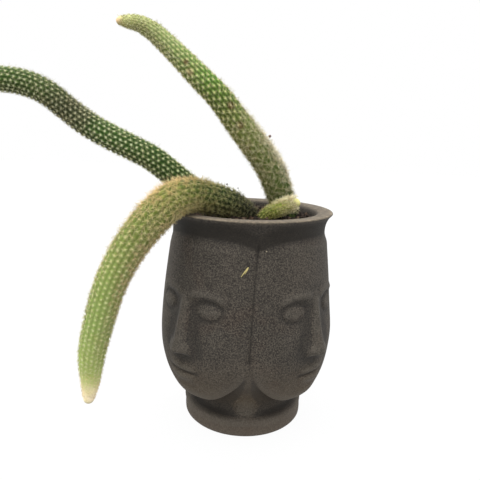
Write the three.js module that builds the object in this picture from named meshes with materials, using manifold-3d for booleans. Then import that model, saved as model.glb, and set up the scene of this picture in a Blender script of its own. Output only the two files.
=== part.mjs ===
// A potted monkey tail cactus. Four ribbed, bristly stems stand in the soil of a thick stoneware pot,
// whose sides carry four heads in relief under a flared rim. Lengths are in millimetres and +Z is up.
// The origin is the middle of the pot's flat base, and -Y is the front.
import * as THREE from "three";
import { mergeVertices } from "three/addons/utils/BufferGeometryUtils.js";
import Module from "manifold-3d";

// Driving dimensions of the pot
const POT_HEIGHT = 162.5;
const RIM_RADIUS = 62;
const MOUTH_RADIUS = 49.5;
const FOOT_RADIUS = 45.8;
const HEADS = 4;
const FRONT_SEAM_DEGREES = 3.5; // how far right of the front the first seam between two heads stands
const HEAD_HALF_DEGREES = 180 / HEADS;
const SEAM_HALF_DEGREES = 1.2; // half the width of the groove between two heads
const SEAM_LEAN_DEGREES = 4; // how far round the heads lean on their way up to the crown
const CHIN_Z = 26;
const HAIRLINE_Z = 149;
const FACE_ARC_RADIUS = 64; // turns an angle on the sides into an arc length in millimetres
const DRAIN_HOLES = 3;
const DRAIN_RADIUS = 4;
const DRAIN_CIRCLE = 20;

// Driving dimensions of the soil
const SOIL_LEVEL = 157;
const FLOOR_THICKNESS = 9;
const GAP = 0.35; // left between pieces that touch

// Driving dimensions of the stems
const RIBS = 17;
const RIB_DEPTH = 1.3;
const SPINE_THICKNESS = 0.9;
const SPINE_SPACING = 3.3; // between spines along a stem, each on another rib
const SPINE_ROOT = 1; // how far a spine reaches in under the skin
const SPINE_TIPWARD = 0.55; // how far a spine leans towards the tip for each unit outward
const SPINE_CLEARANCE = 6; // from a spine's point to another stem
const GOLDEN_ANGLE = Math.PI * (3 - Math.sqrt(5));

const DEGREE = Math.PI / 180;
const TURN = 2 * Math.PI;

const wasm = await Module();
wasm.setup();

// A three.js geometry as a manifold-3d solid.
function solidFrom(geometry) {
  const bare = geometry.clone();
  bare.deleteAttribute("normal");
  bare.deleteAttribute("uv");
  const merged = mergeVertices(bare, 1e-4);
  return new wasm.Manifold(
    new wasm.Mesh({
      numProp: 3,
      vertProperties: new Float32Array(merged.attributes.position.array),
      triVerts: new Uint32Array(merged.index.array),
    }),
  );
}

// A manifold-3d solid as a three.js geometry.
function geometryFrom(solid) {
  const mesh = solid.getMesh();
  const geometry = new THREE.BufferGeometry();
  geometry.setAttribute("position", new THREE.BufferAttribute(mesh.vertProperties, 3));
  geometry.setIndex(new THREE.BufferAttribute(mesh.triVerts, 1));
  geometry.computeVertexNormals();
  return geometry;
}

// A closed solid from stacked rings of points, each counterclockwise seen from the last ring's side.
function ringStack(rings, firstPole, lastPole) {
  const sides = rings[0].length;
  const points = [firstPole, ...rings.flat(), lastPole];
  const last = points.length - 1;
  const triangles = [];
  const at = (ring, side) => 1 + ring * sides + (side % sides);
  for (let side = 0; side < sides; side++) {
    triangles.push(0, at(0, side + 1), at(0, side));
    triangles.push(last, at(rings.length - 1, side), at(rings.length - 1, side + 1));
    for (let ring = 0; ring + 1 < rings.length; ring++) {
      triangles.push(at(ring, side), at(ring, side + 1), at(ring + 1, side));
      triangles.push(at(ring, side + 1), at(ring + 1, side + 1), at(ring + 1, side));
    }
  }
  const geometry = new THREE.BufferGeometry().setFromPoints(points);
  geometry.setIndex(triangles);
  return geometry;
}

// The value at z on a smooth line through [z, value] pairs.
function profileAt(pairs, z) {
  if (z <= pairs[0][0]) return pairs[0][1];
  const next = pairs.findIndex(([height]) => height >= z);
  if (next < 0) return pairs[pairs.length - 1][1];
  const [z0, low] = pairs[next - 1];
  const [z1, high] = pairs[next];
  const slope = (i) => {
    const a = pairs[Math.max(i - 1, 0)];
    const b = pairs[Math.min(i + 1, pairs.length - 1)];
    return (b[1] - a[1]) / (b[0] - a[0]);
  };
  const t = (z - z0) / (z1 - z0);
  const blend = t * t * (3 - 2 * t);
  const bends = slope(next - 1) * t * (1 - t) ** 2 - slope(next) * t * t * (1 - t);
  return low * (1 - blend) + high * blend + bends * (z1 - z0);
}

const bell = (x, width) => Math.exp(-((x / width) ** 2));
const ramp = THREE.MathUtils.smoothstep;

// Pot: the round body between and under the heads, as [height, radius]
const CORE = [
  [0, FOOT_RADIUS - 1.2],
  [1.5, FOOT_RADIUS],
  [8, FOOT_RADIUS],
  [11.5, FOOT_RADIUS - 0.7],
  [13.4, 43.2],
  [14, 41.2],
  [15.4, 40.1],
  [22, 38.5],
  [29, 38.5],
  [38, 43.5],
  [48, 52],
  [58, 60],
  [66, 63.4],
  [82, 64],
  [102, 62.6],
  [124, 59.8],
  [140, 57.5],
  [149, 56.9],
  [154, 57.6],
  [158.5, 59.5],
  [161.4, RIM_RADIUS],
  [POT_HEIGHT, RIM_RADIUS - 1.2],
];

// Pot: how far the round body swells out in the gap under each seam and over the foot, as [height, swell]
const GAP_SWELL = [
  [8, 0],
  [16, 3],
  [24, 3.2],
  [34, 4.5],
  [44, 5.5],
  [54, 4.5],
  [62, 1.8],
  [68, 0],
];
const GAP_SWELL_DEGREES = 13; // from the seam, where the swell has faded to about a third

// Pot: the radius of the heads' surface, before the features of the face
const HEAD = [
  [CHIN_Z - 2, 44],
  [CHIN_Z + 2, 51],
  [32, 56.5],
  [40, 61],
  [50, 64],
  [62, 65.5],
  [78, 65.5],
  [102, 63.6],
  [128, 60.8],
  [140, 59.4],
  [HAIRLINE_Z, 58.8],
];
const CHIN_SPRING_Z = 65; // the heads start to narrow to their chins here, where the gap between two begins
const CROWN_DROP = 6.5; // how far each crown line comes down to the seams beside it
const CROWN_SHOULDER = 8; // the height over which a head slopes back to the neck below its crown line
const EDGE_POWERS = { cheek: 4.5, forehead: 3.5 }; // how squarely a head's edges round over into the seams

// The face is a calm one in the usual proportions: three equal thirds from hairline to chin, five eyes wide.
const THIRD = (HAIRLINE_Z - CHIN_Z) / 3;
const BROW_Z = HAIRLINE_Z - THIRD;
const NOSE_BASE_Z = CHIN_Z + THIRD;
const MOUTH_Z = NOSE_BASE_Z - THIRD / 3;
const CHIN_DIP_Z = MOUTH_Z - THIRD / 4;
const CHIN_BALL_Z = CHIN_Z + THIRD / 3;
const CHEEK_Z = NOSE_BASE_Z + THIRD / 4;
const EYE_WIDTH = (2 * HEAD_HALF_DEGREES * DEGREE * FACE_ARC_RADIUS) / 5;
const EYE_Z = BROW_Z - THIRD / 5;
const MOUTH_HALF_WIDTH = 0.72 * EYE_WIDTH;

// How far each feature of the face stands out
const NOSE_ROOT_HEIGHT = 1.8;
const NOSE_TIP_HEIGHT = 9;
const NOSE_WING_HEIGHT = 2.8;
const SOCKET_DEPTH = 2.6;
const EYELID_HEIGHT = 3;
const BROW_HEIGHT = 1.7;
const UPPER_LIP_HEIGHT = 2.4;
const LOWER_LIP_HEIGHT = 2.8;
const MOUTH_LINE_DEPTH = 1.6;
const CHIN_HEIGHT = 2.2;
const CHEEK_HEIGHT = 1.1;

// How far the face stands out of the head, at an arc length s from its middle line and a height z.
function faceRelief(s, z) {
  const side = Math.abs(s);
  const down = THREE.MathUtils.clamp((BROW_Z - z) / (BROW_Z - NOSE_BASE_Z), 0, 1);
  const bridge = NOSE_ROOT_HEIGHT + (NOSE_TIP_HEIGHT - NOSE_ROOT_HEIGHT) * down ** 1.3;
  const noseEnds = ramp(z, NOSE_BASE_Z - 1.5, NOSE_BASE_Z + 3) * (1 - ramp(z, BROW_Z - 4, BROW_Z + 8));
  const nose = bridge * bell(side, 3.6 + 3.4 * down ** 2) * noseEnds;
  const wings = NOSE_WING_HEIGHT * bell(side - 7, 3.4) * bell(z - NOSE_BASE_Z - 5, 4);
  const socket = -SOCKET_DEPTH * bell(side - EYE_WIDTH, 9.5) * bell(z - EYE_Z - 1, 8);
  const lidReach = Math.hypot((side - EYE_WIDTH) / (0.46 * EYE_WIDTH), (z - EYE_Z) / 5.4);
  const eyelid = EYELID_HEIGHT * Math.sqrt(Math.max(0, 1 - lidReach ** 2));
  const browLine = BROW_Z + 3 - ((side - 15) / 9) ** 2;
  const brow = BROW_HEIGHT * bell(z - browLine, 3.4) * ramp(side, 1, 8) * (1 - ramp(side, 26, 36));
  const lips = Math.max(0, 1 - (side / MOUTH_HALF_WIDTH) ** 2);
  const upperLip = UPPER_LIP_HEIGHT * lips * bell(z - MOUTH_Z - 3, 2.8);
  const lowerLip = LOWER_LIP_HEIGHT * lips ** 1.5 * bell(z - MOUTH_Z + 3.4, 3.2);
  const mouthLine = -MOUTH_LINE_DEPTH * lips ** 0.5 * bell(z - MOUTH_Z, 1.1);
  const chin = CHIN_HEIGHT * bell(side, 10) * bell(z - CHIN_BALL_Z, 8);
  const chinDip = -bell(side, 9) * bell(z - CHIN_DIP_Z, 3);
  const cheek = CHEEK_HEIGHT * bell(side - 25, 10) * bell(z - CHEEK_Z, 13);
  return nose + wings + socket + eyelid + brow + upperLip + lowerLip + mouthLine + chin + chinDip + cheek;
}

// Half the width of a head at a height, in degrees: an egg with its point at the chin.
function headHalfWidth(z) {
  const chinward = THREE.MathUtils.clamp((CHIN_SPRING_Z - z) / (CHIN_SPRING_Z - CHIN_Z + 2), 0, 1);
  return (HEAD_HALF_DEGREES - SEAM_HALF_DEGREES) * Math.sqrt(1 - chinward ** 2);
}

// The share of a head's height off the neck that is left: it rounds over to the seams and to the crown line.
function pillowShare(across, z) {
  const power = THREE.MathUtils.lerp(EDGE_POWERS.cheek, EDGE_POWERS.forehead, ramp(z, EYE_Z - 10, HAIRLINE_Z - 15));
  const crownLine = HAIRLINE_Z - CROWN_DROP * across ** 4;
  const underCrown = 1 - ramp(z, crownLine - CROWN_SHOULDER, crownLine);
  return Math.sqrt(Math.max(0, 1 - Math.abs(across) ** power)) * underCrown;
}

// The round body's outer radius at a height, and at an angle from the nearest seam.
function coreRadius(fromSeam, z) {
  return profileAt(CORE, z) + profileAt(GAP_SWELL, z) * bell(fromSeam, GAP_SWELL_DEGREES);
}

// The pot's outer radius at a share of the way from a head's middle line to its edge, and a height.
function potRadius(across, z) {
  const core = coreRadius(HEAD_HALF_DEGREES - Math.abs(across) * columnHalfWidth(z), z);
  if (z < CHIN_Z - 2 || z > HAIRLINE_Z) return core;
  const arc = across * headHalfWidth(z) * DEGREE * FACE_ARC_RADIUS;
  return core + (Math.max(0, profileAt(HEAD, z) - core) + faceRelief(arc, z)) * pillowShare(across, z);
}

// How far round the heads have leaned at a height, in degrees.
function leanAt(z) {
  const up = THREE.MathUtils.clamp((z - CHIN_SPRING_Z) / (HAIRLINE_Z - CHIN_SPRING_Z), 0, 1);
  return SEAM_LEAN_DEGREES * up ** 2;
}

// Rows are closer together at the foot, the face's features and the crown. Columns go by shares of a head's
// half width, so that they follow its edge, and the last column of each head is the bottom of the seam.
const POT_ROWS = [
  0, 1.5, 11.5, 13.4, 14, 16, 19, 23, 27, 33, 41, 45.5, 49.5, 53, 56.5, 61, 66,
  72, 80, 93, 99.5, 104, 109, 115, 128, 136, 141, 145, 149, 154, 158.5, 161.4, POT_HEIGHT,
];
const HALF_SHARES = [0, 0.07, 0.14, 0.22, 0.3, 0.4, 0.54, 0.7, 0.84, 0.94, 1];
const HEAD_SHARES = [...HALF_SHARES.map((share) => -share).reverse(), ...HALF_SHARES.slice(1)];
const PLAIN_HALF_WIDTH = HEAD_HALF_DEGREES - 3; // below the chins the columns spread out to this

function columnHalfWidth(z) {
  const underChin = 1 - ramp(z, 6, CHIN_Z + 1);
  return THREE.MathUtils.lerp(Math.max(headHalfWidth(z), 9), PLAIN_HALF_WIDTH, underChin);
}

// Pot: the inside, as [height, radius], which leaves the round body a wall of 5 to 9 mm
const CAVITY = [
  [FLOOR_THICKNESS, 30],
  [28, 32],
  [38, 37],
  [50, 46],
  [64, 53],
  [87, 54.5],
  [117, 52.5],
  [150, MOUTH_RADIUS],
  [POT_HEIGHT - 1, MOUTH_RADIUS],
  [POT_HEIGHT + 0.5, MOUTH_RADIUS + 1.5],
];
const CAVITY_SIDES = 40;

function makeCavity() {
  const outline = CAVITY.map(([z, r]) => new THREE.Vector2(r, z));
  outline.unshift(new THREE.Vector2(0, CAVITY[0][0]));
  outline.push(new THREE.Vector2(0, CAVITY[CAVITY.length - 1][0]));
  return solidFrom(new THREE.LatheGeometry(outline, CAVITY_SIDES).rotateX(Math.PI / 2));
}

function makePot() {
  const rings = POT_ROWS.map((z) => {
    const ring = [];
    const addPoint = (degrees, radius) => {
      const angle = degrees * DEGREE;
      ring.push(new THREE.Vector3(radius * Math.cos(angle), radius * Math.sin(angle), z));
    };
    for (let head = 0; head < HEADS; head++) {
      const middle = FRONT_SEAM_DEGREES - 90 + (2 * head + 1) * HEAD_HALF_DEGREES + leanAt(z);
      HEAD_SHARES.forEach((share) => addPoint(middle + share * columnHalfWidth(z), potRadius(share, z)));
      addPoint(middle + HEAD_HALF_DEGREES, coreRadius(0, z));
    }
    return ring;
  });
  const body = ringStack(rings, new THREE.Vector3(0, 0, 0), new THREE.Vector3(0, 0, POT_HEIGHT));
  let pot = solidFrom(body).subtract(makeCavity());
  for (let hole = 0; hole < DRAIN_HOLES; hole++) {
    const angle = (hole / DRAIN_HOLES) * TURN;
    const drill = new THREE.CylinderGeometry(DRAIN_RADIUS, DRAIN_RADIUS, 4 * FLOOR_THICKNESS, 12);
    drill.rotateX(Math.PI / 2);
    drill.translate(DRAIN_CIRCLE * Math.cos(angle), DRAIN_CIRCLE * Math.sin(angle), 0);
    pot = pot.subtract(solidFrom(drill));
  }
  return geometryFrom(pot);
}

// Stems: the middle line of each, from the foot in the soil to the tip, as [x, y, z, radius, spine length]
const STEM_ROUTES = {
  stem_upright: [
    [32, 8, 133, 5, 4],
    [31, 8, 145, 8.4, 4],
    [27.5, 7, 158, 9, 5],
    [21, 4, 177, 9.4, 5],
    [13, 3, 194, 9.6, 4.5],
    [1, 2, 210, 9.4, 3.5],
    [-12, 1, 226, 9.1, 3],
    [-25, 0, 242, 8.6, 2.6],
    [-41, 0, 257, 8, 2.6],
    [-56, 0, 271, 7, 2.6],
    [-70, -2, 283, 6.2, 2.6],
    [-79, -5, 288, 5.3, 2.6],
    [-86, -8, 289, 4.5, 2.4],
    [-92, -10, 289, 3.1, 1.8],
  ],
  stem_left: [
    [-5, 19, 132, 5, 3],
    [-7, 18, 144, 8, 3],
    [-13, 17, 154, 8.8, 3],
    [-26, 15, 162.5, 9.1, 3],
    [-47, 14, 174.5, 9.2, 2.6],
    [-74, 15, 194.5, 9.3, 2.6],
    [-90, 16, 202.5, 9.1, 2.6],
    [-108, 18, 210.5, 9.3, 2.6],
    [-127, 20, 220, 9.2, 2.6],
    [-143, 22, 231, 9.1, 2.6],
    [-158, 23, 242, 9.2, 2.6],
    [-174, 24, 249, 9.3, 2.6],
    [-194, 24, 252, 9, 2.6],
    [-214, 23, 249, 8.6, 2.6],
    [-231, 22, 240, 8, 2.6],
    [-243, 20, 227, 7, 2.6],
    [-250, 18, 212, 5.6, 2.6],
    [-253, 17, 201, 4, 2.6],
  ],
  stem_trailing: [
    [8, 0, 133, 5, 3],
    [5, -2, 145, 7.8, 3],
    [-1, -5.5, 155, 8.8, 3],
    [-9, -12, 163, 9.8, 4],
    [-18, -20, 168.5, 10.2, 5],
    [-29, -29.5, 172.5, 10.4, 5.5],
    [-38, -37, 174.8, 10.5, 5.5],
    [-47.5, -43.5, 173.7, 10.8, 5.5],
    [-56.5, -48, 167.4, 11.1, 5],
    [-66, -51.5, 157, 11.1, 4.5],
    [-76, -54.5, 143.5, 10.7, 4],
    [-84, -56, 129.5, 10.3, 3.5],
    [-91, -57, 113.5, 10, 3],
    [-98, -57, 90.5, 9.6, 3],
    [-104, -56, 66.5, 8.7, 3],
    [-106.5, -54, 44, 6.4, 2.6],
    [-108.3, -53, 31.2, 4, 1.8],
  ],
  shoot_young: [
    [6, -15.5, 146, 3.4, 3],
    [9, -16.5, 155, 4.4, 3],
    [13.5, -17, 161, 4.8, 3],
    [20, -18, 164.5, 5, 3.5],
    [27, -18.5, 167.5, 4.6, 4],
    [32, -19, 169.5, 3.6, 4],
  ],
};
const STEM_STEP = 10; // between rings along a stem
const SHOOT_STEP = 5;
const SHOOT_RIBS = 12;
const DOME_DEGREES = [38, 68]; // the rounded ends' rings

const smoothLine = (points) => new THREE.CatmullRomCurve3(points, false, "catmullrom", 0.5);

// A route's middle line, radius and spine length at even steps, with a frame that doesn't twist.
function stationsOf(route, step) {
  const line = smoothLine(route.map(([x, y, z]) => new THREE.Vector3(x, y, z)));
  const sizes = smoothLine(route.map(([, , , radius, spine]) => new THREE.Vector3(radius, spine, 0)));
  const count = Math.round(line.getLength() / step);
  const frames = line.computeFrenetFrames(count, false);
  return frames.tangents.map((tangent, i) => {
    const { x: radius, y: spine } = sizes.getPoint(line.getUtoTmapping(i / count));
    const middle = line.getPointAt(i / count);
    return { middle, radius, spine, tangent, across: frames.normals[i], up: frames.binormals[i] };
  });
}

// 1 where a place on a stem is out of the soil, or beside the pot, and 0 where it is in the soil.
function outOfSoil({ x, y, z }) {
  return Math.hypot(x, y) > MOUTH_RADIUS ? 1 : ramp(z, SOIL_LEVEL - 4, SOIL_LEVEL + 6);
}

// A point round a station, at an angle and a distance from the middle line.
function roundStation({ middle, across, up }, angle, distance) {
  return middle
    .clone()
    .addScaledVector(across, distance * Math.cos(angle))
    .addScaledVector(up, distance * Math.sin(angle));
}

// A stem's body: a tube along its stations with a crest for each rib, and round ends.
function stemBody(stations, ribs, ribDepth, grow = 0) {
  const sides = 2 * ribs;
  const ringAt = (station, radius, depth) =>
    Array.from({ length: sides }, (_, side) =>
      roundStation(station, (side / sides) * TURN, radius + (side % 2 ? -0.5 : 0.5) * depth),
    );
  const domeAt = (station, direction, degrees) => {
    const radius = station.radius + grow;
    const moved = { ...station, middle: station.middle.clone() };
    moved.middle.addScaledVector(station.tangent, direction * radius * Math.sin(degrees * DEGREE));
    return degrees === 90 ? moved.middle : ringAt(moved, radius * Math.cos(degrees * DEGREE), 0.3 * ribDepth);
  };
  const first = stations[0];
  const last = stations[stations.length - 1];
  const rings = stations.map((station) => {
    const depth = ribDepth * outOfSoil(station.middle) * (station.radius / 10);
    return ringAt(station, station.radius + grow, depth);
  });
  const firstDome = DOME_DEGREES.map((degrees) => domeAt(first, -1, degrees)).reverse();
  const lastDome = DOME_DEGREES.map((degrees) => domeAt(last, 1, degrees));
  return ringStack([...firstDome, ...rings, ...lastDome], domeAt(first, -1, 90), domeAt(last, 1, 90));
}

// A spine: a slim three-sided needle from under the skin to its point.
function spineAt(foot, outward, tangent, length) {
  const direction = outward.clone().addScaledVector(tangent, SPINE_TIPWARD).normalize();
  const needle = new THREE.ConeGeometry(SPINE_THICKNESS / 2, length + SPINE_ROOT, 3, 1);
  needle.translate(0, (length - SPINE_ROOT) / 2, 0);
  needle.applyQuaternion(new THREE.Quaternion().setFromUnitVectors(new THREE.Vector3(0, 1, 0), direction));
  needle.translate(foot.x, foot.y, foot.z);
  return solidFrom(needle);
}

// A spine is left out where it would run into the pot, the soil or another stem.
function spineIsClear(point, name) {
  const fromAxis = Math.hypot(point.x, point.y);
  if (fromAxis < RIM_RADIUS + 5 && point.z < POT_HEIGHT + 3) return false;
  const clearOf = ([x, y, z, r]) => point.distanceTo(new THREE.Vector3(x, y, z)) > r + SPINE_CLEARANCE;
  return Object.entries(STEM_ROUTES).every(([other, route]) => other === name || route.every(clearOf));
}

function makeStem(name, step, ribs) {
  const body = solidFrom(stemBody(stationsOf(STEM_ROUTES[name], step), ribs, RIB_DEPTH));
  const spines = [];
  stationsOf(STEM_ROUTES[name], SPINE_SPACING).forEach((station, i) => {
    const rib = Math.round((i * GOLDEN_ANGLE * ribs) / TURN);
    const foot = roundStation(station, (rib / ribs) * TURN, station.radius);
    const outward = foot.clone().sub(station.middle).normalize();
    const point = foot.clone().addScaledVector(outward, station.spine);
    if (outOfSoil(point) > 0.85 && spineIsClear(point, name)) {
      spines.push(spineAt(foot, outward, station.tangent, station.spine));
    }
  });
  return geometryFrom(wasm.Manifold.union([body, ...spines]));
}

// Soil: it fills the pot, with a lumpy top and a plain hole for each stem's foot.
const SOIL_SIDES = 24;
const SOIL_RINGS = [1, 0.7, 0.35];
const HOLE_SIDES = 12;
const HOLE_CLEARANCE = 1.3; // more than the ribs' height, so that a stem stands free in its hole

function soilTop(x, y) {
  const lumps = 0.9 * Math.sin(0.31 * x + 1.3) * Math.cos(0.27 * y - 0.4);
  const crumbs = 0.6 * Math.sin(0.55 * y + 0.2 * x);
  return SOIL_LEVEL + lumps + crumbs;
}

function makeSoil() {
  const ringOf = (radius, z) =>
    Array.from({ length: SOIL_SIDES }, (_, side) => {
      const angle = (side / SOIL_SIDES) * TURN;
      const x = radius * Math.cos(angle);
      const y = radius * Math.sin(angle);
      return new THREE.Vector3(x, y, z ?? soilTop(x, y));
    });
  const insideOf = (radius) => (radius - GAP) * Math.cos(Math.PI / CAVITY_SIDES); // clear of the wall's facets
  const floor = FLOOR_THICKNESS + GAP;
  const buriedWall = CAVITY.filter(([z]) => z < SOIL_LEVEL - 3);
  const wall = buriedWall.map(([z, r]) => ringOf(insideOf(r), Math.max(z, floor)));
  const top = SOIL_RINGS.map((share) => ringOf(share * insideOf(MOUTH_RADIUS)));
  let soil = solidFrom(
    ringStack([...wall, ...top], new THREE.Vector3(0, 0, floor), new THREE.Vector3(0, 0, soilTop(0, 0))),
  );
  for (const route of Object.values(STEM_ROUTES)) {
    const buried = stationsOf(route, 9).filter(({ middle }) => middle.z < SOIL_LEVEL + 14);
    soil = soil.subtract(solidFrom(stemBody(buried, HOLE_SIDES / 2, 0, HOLE_CLEARANCE)));
  }
  return geometryFrom(soil);
}

// Finishes
const STONEWARE = new THREE.MeshStandardMaterial({ color: 0x45403c, roughness: 0.85, metalness: 0 });
const SOIL = new THREE.MeshStandardMaterial({ color: 0x3a2a20, roughness: 1, metalness: 0 });
const STEM_DARK = new THREE.MeshStandardMaterial({ color: 0x4d6b3a, roughness: 0.7, metalness: 0 });
const STEM_LIGHT = new THREE.MeshStandardMaterial({ color: 0x6f8a4a, roughness: 0.7, metalness: 0 });
const SHOOT = new THREE.MeshStandardMaterial({ color: 0x9aa84e, roughness: 0.7, metalness: 0 });

function named(name, geometry, material) {
  const mesh = new THREE.Mesh(geometry, material);
  mesh.name = name;
  return mesh;
}

const cactus = new THREE.Group();
cactus.add(named("pot", makePot(), STONEWARE));
cactus.add(named("soil", makeSoil(), SOIL));
cactus.add(named("stem_upright", makeStem("stem_upright", STEM_STEP, RIBS), STEM_LIGHT));
cactus.add(named("stem_left", makeStem("stem_left", STEM_STEP, RIBS), STEM_DARK));
cactus.add(named("stem_trailing", makeStem("stem_trailing", STEM_STEP, RIBS), STEM_LIGHT));
cactus.add(named("shoot_young", makeStem("shoot_young", SHOOT_STEP, SHOOT_RIBS), SHOOT));

export default cactus;
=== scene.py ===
"""A potted monkey tail cactus: a stoneware pot with four heads in relief, its soil and four bristly stems.

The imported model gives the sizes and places. Lengths here are in millimetres up to the point where a mesh or
a node takes them, and there MM turns them into metres.
"""
import math

import bpy
import numpy as np
from mathutils import Matrix, Vector


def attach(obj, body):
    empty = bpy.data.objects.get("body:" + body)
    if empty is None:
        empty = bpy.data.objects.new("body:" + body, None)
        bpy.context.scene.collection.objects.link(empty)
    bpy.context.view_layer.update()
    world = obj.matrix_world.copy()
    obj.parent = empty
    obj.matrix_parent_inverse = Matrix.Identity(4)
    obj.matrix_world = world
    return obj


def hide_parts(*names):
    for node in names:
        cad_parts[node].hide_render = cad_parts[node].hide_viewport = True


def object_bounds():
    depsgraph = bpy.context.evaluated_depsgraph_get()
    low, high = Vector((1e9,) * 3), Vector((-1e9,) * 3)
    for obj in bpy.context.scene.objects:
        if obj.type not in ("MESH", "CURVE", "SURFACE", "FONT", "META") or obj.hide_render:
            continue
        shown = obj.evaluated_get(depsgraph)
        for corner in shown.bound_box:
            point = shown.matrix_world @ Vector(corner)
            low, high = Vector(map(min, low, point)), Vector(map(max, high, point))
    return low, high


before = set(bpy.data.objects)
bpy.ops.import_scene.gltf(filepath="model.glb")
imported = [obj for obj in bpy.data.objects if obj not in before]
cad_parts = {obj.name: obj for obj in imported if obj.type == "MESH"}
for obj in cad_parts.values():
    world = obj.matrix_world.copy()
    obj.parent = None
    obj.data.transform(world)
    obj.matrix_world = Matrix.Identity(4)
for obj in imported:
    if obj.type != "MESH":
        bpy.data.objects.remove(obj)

cad_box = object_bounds()

# Pot
# The real pot is cast in dark, sandy stoneware in a mould of four parts, one for each head, and fired bare.
# Its walls are thick, its lip flares over the heads, and three drain holes go through its flat base.

MM = 0.001
DEGREE = math.pi / 180
TURN = 2 * math.pi
HEADS = 4
HEAD_HALF_DEGREES = 180 / HEADS
FRONT_SEAM_DEGREES, SEAM_HALF_DEGREES, SEAM_LEAN_DEGREES = 3.5, 1.2, 4
PLAIN_HALF_DEGREES, LEAST_HALF_DEGREES = HEAD_HALF_DEGREES - 3, 9
CHIN_Z, HAIRLINE_Z, CHIN_SPRING_Z = 26, 149, 65
CROWN_DROP, CROWN_SHOULDER = 6.5, 8
FACE_ARC_RADIUS = 64
RIM_Z = 161.4
# Heights and radii of the round body, how far it swells in the gap under each seam, and the heads' reach.
POT_CORE = [
    (0, 44.6), (1.5, 45.8), (8, 45.8), (11.5, 45.1), (13.4, 43.2), (14, 41.2), (15.4, 40.1), (22, 38.5),
    (29, 38.5), (38, 43.5), (48, 52), (58, 60), (66, 63.4), (82, 64), (102, 62.6), (124, 59.8), (140, 57.5),
    (149, 56.9), (154, 57.6), (158.5, 59.5), (RIM_Z, 62),
]
GAP_SWELL = [(8, 0), (16, 3), (24, 3.2), (34, 4.5), (44, 5.5), (54, 4.5), (62, 1.8), (68, 0)]
GAP_SWELL_DEGREES = 13
POT_HEAD = [
    (24, 44), (28, 51), (32, 56.5), (40, 61), (50, 64), (62, 65.4), (78, 65.4), (102, 63.6), (128, 60.8),
    (140, 59.4), (HAIRLINE_Z, 58.8),
]
# The lip, as radii, heights and how rubbed it is, a lightness that is partly wear and partly a painted
# highlight on its outer edge, and the inside and the underside.
POT_LIP = [
    (61.95, 161.8, 0.35), (61.6, 162.2, 0.5), (60.9, 162.45, 0.55), (59.8, 162.5, 0.4), (56.6, 162.5, 0.35),
    (53.5, 162.4, 0.35), (51.6, 161.8, 0.35), (50.3, 160.7, 0.15), (49.6, 159, 0.0),
]
POT_FLOOR_Z, MOUTH_RADIUS = 9, 49.5
POT_INSIDE = [
    (MOUTH_RADIUS, 156), (MOUTH_RADIUS, 150), (52.5, 117), (54.5, 87), (53, 64), (46, 50), (37, 38), (32, 28),
    (30, 11), (28, POT_FLOOR_Z),
]
POT_UNDER = [14, 24, 36, 43.6]
OUTSIDE_ROW_STEP = 1.05
HEAD_COLUMNS, GAP_COLUMNS = 84, 9
# The wall is softened this often, and what stands this far proud of the softened wall is fully worn, while
# what lies as far below it gets full painted shade.
WEAR_ROUNDS, WEAR_DEPTH = 6, 0.7
DRAIN_HOLES, DRAIN_RADIUS, DRAIN_CIRCLE = 3, 4, 20
DRILL_SIDES, DRILL_ENDS = 32, (-3, 15)


def smooth_step(x, low, high):
    share = np.clip((x - low) / (high - low), 0, 1)
    return share * share * (3 - 2 * share)


def bell(x, width):
    return np.exp(-((x / width) ** 2))


def profile_at(pairs, z):
    """The radius at heights z, on a smooth line through (height, radius) pairs."""
    heights, radii = np.array(pairs, float).T
    last = len(heights) - 1
    before, after = np.maximum(np.arange(last + 1) - 1, 0), np.minimum(np.arange(last + 1) + 1, last)
    slopes = (radii[after] - radii[before]) / (heights[after] - heights[before])
    inside = np.clip(z, heights[0], heights[-1])
    i = np.clip(np.searchsorted(heights, inside, side="right") - 1, 0, last - 1)
    span = heights[i + 1] - heights[i]
    t = (inside - heights[i]) / span
    blend = t * t * (3 - 2 * t)
    bends = slopes[i] * t * (1 - t) ** 2 - slopes[i + 1] * t * t * (1 - t)
    return radii[i] * (1 - blend) + radii[i + 1] * blend + bends * span


# The face is a calm one in the usual proportions: equal thirds from hairline to chin, and five eyes wide.
THIRD = (HAIRLINE_Z - CHIN_Z) / 3
BROW_Z, NOSE_BASE_Z = HAIRLINE_Z - THIRD, CHIN_Z + THIRD
MOUTH_Z = NOSE_BASE_Z - THIRD / 3
EYE_WIDTH = 2 * HEAD_HALF_DEGREES * DEGREE * FACE_ARC_RADIUS / 5
EYE_Z = BROW_Z - THIRD / 5
MOUTH_HALF_WIDTH = 0.72 * EYE_WIDTH


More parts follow.
